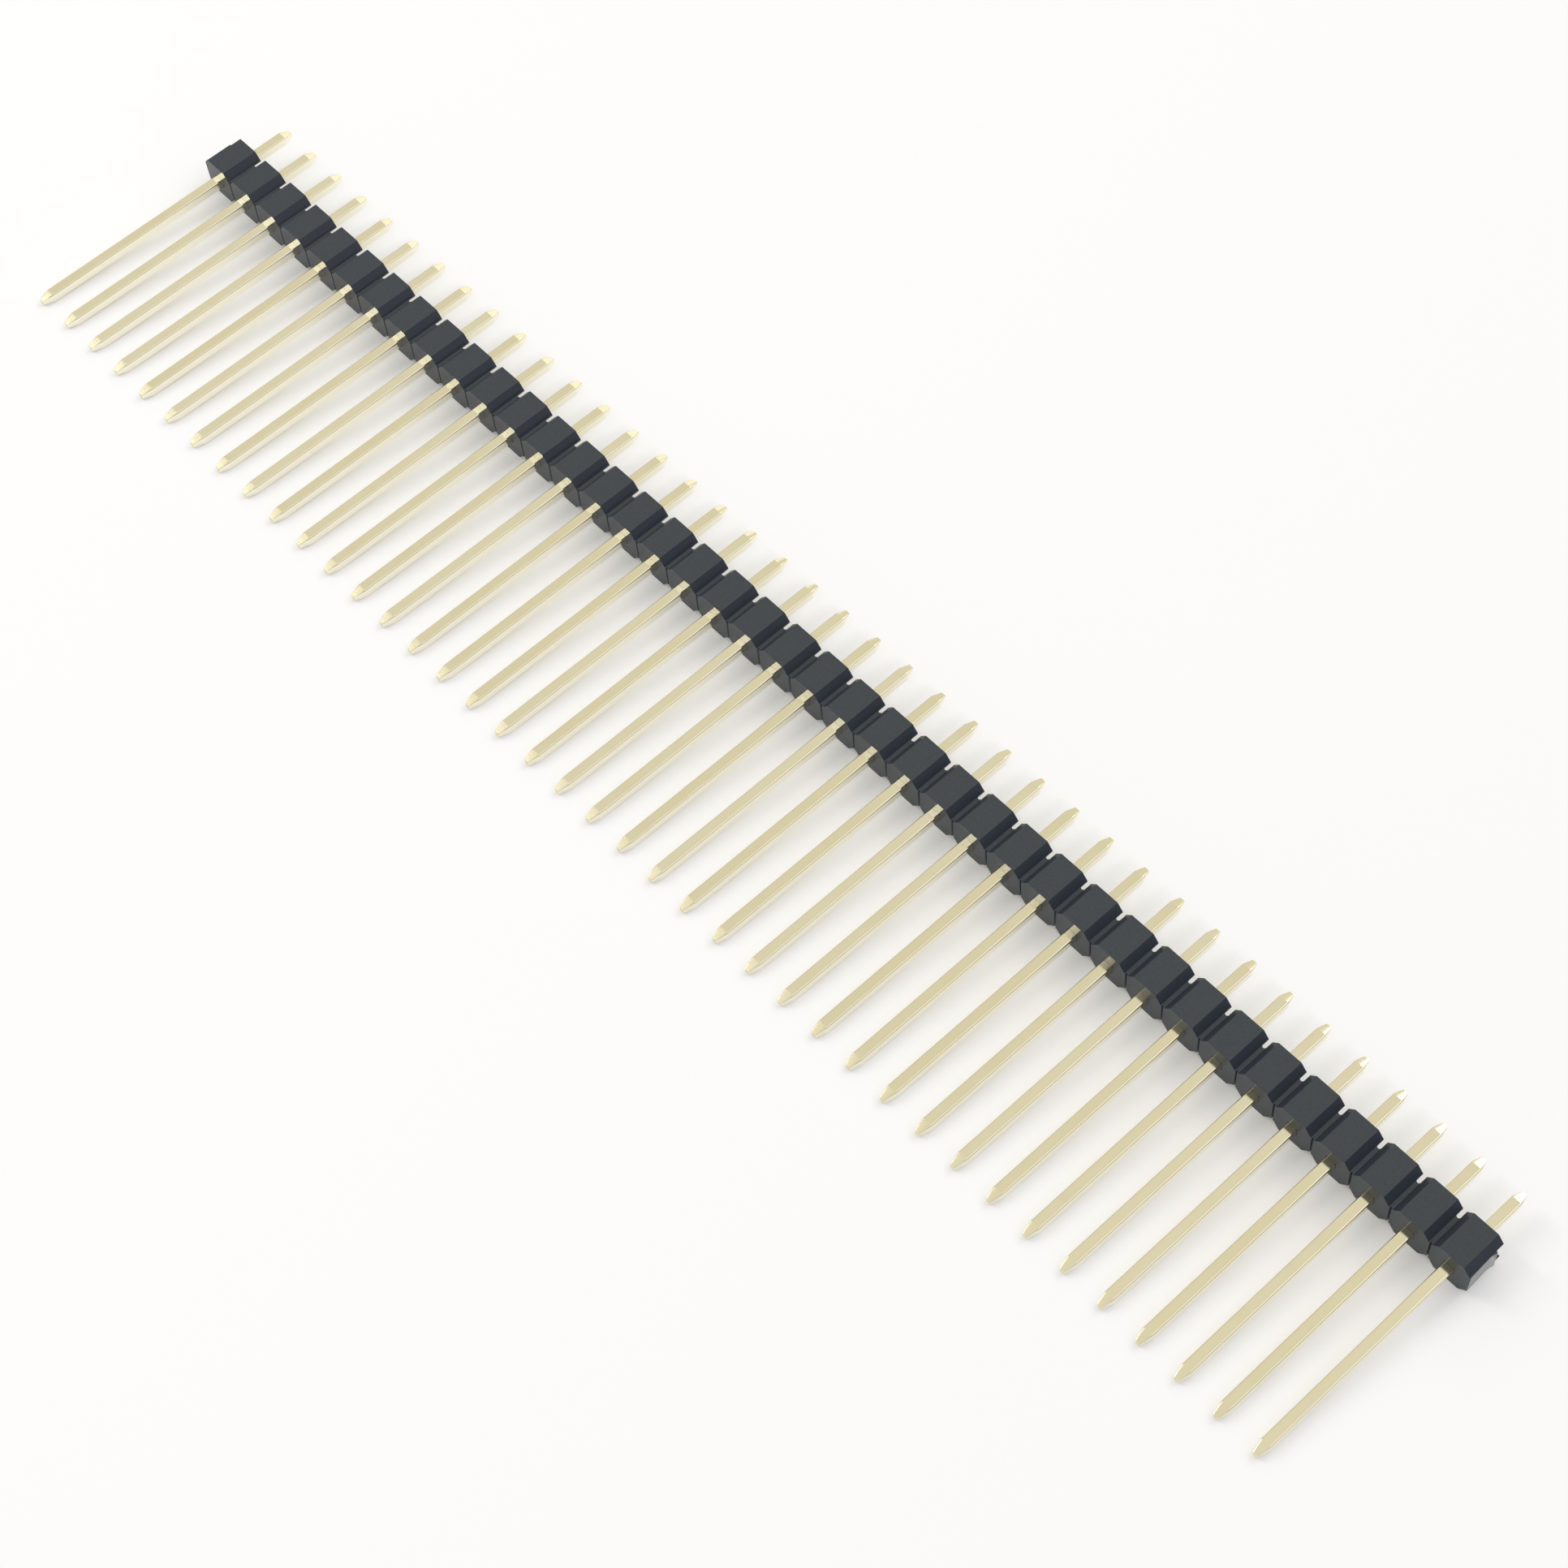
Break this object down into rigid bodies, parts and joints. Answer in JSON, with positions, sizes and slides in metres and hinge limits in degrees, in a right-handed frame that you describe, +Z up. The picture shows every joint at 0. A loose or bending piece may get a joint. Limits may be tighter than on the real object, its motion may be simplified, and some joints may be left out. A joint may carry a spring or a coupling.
{
  "type": "pin header strip",
  "caption": "Single-row male pin header strip: black snap-apart moulding holding extra-long square gold-flashed pins, with short solder tails behind.",
  "frame": {"origin": "middle of the strip's length and depth, at the surface that it lies on", "axes": "+X along the row towards the end with the snapped nub, +Y towards the solder tails, +Z up; the pins lean 4.24 degrees down towards their mating tips"},
  "size_m": [0.1016, 0.019, 0.0027],
  "materials": {
    "insulator": "charcoal black moulded plastic with a fine satin grain",
    "pin": "pale gold flash over nickel on brass wire, bright and smooth"
  },
  "bodies": {
    "root": {"insulator": "insulator", "pin_01": "pin", "pin_02": "pin", "pin_03": "pin", "pin_04": "pin", "pin_05": "pin", "pin_06": "pin", "pin_07": "pin", "pin_08": "pin", "pin_09": "pin", "pin_10": "pin", "pin_11": "pin", "pin_12": "pin", "pin_13": "pin", "pin_14": "pin", "pin_15": "pin", "pin_16": "pin", "pin_17": "pin", "pin_18": "pin", "pin_19": "pin", "pin_20": "pin", "pin_21": "pin", "pin_22": "pin", "pin_23": "pin", "pin_24": "pin", "pin_25": "pin", "pin_26": "pin", "pin_27": "pin", "pin_28": "pin", "pin_29": "pin", "pin_30": "pin", "pin_31": "pin", "pin_32": "pin", "pin_33": "pin", "pin_34": "pin", "pin_35": "pin", "pin_36": "pin", "pin_37": "pin", "pin_38": "pin", "pin_39": "pin", "pin_40": "pin"}
  },
  "joints": []
}
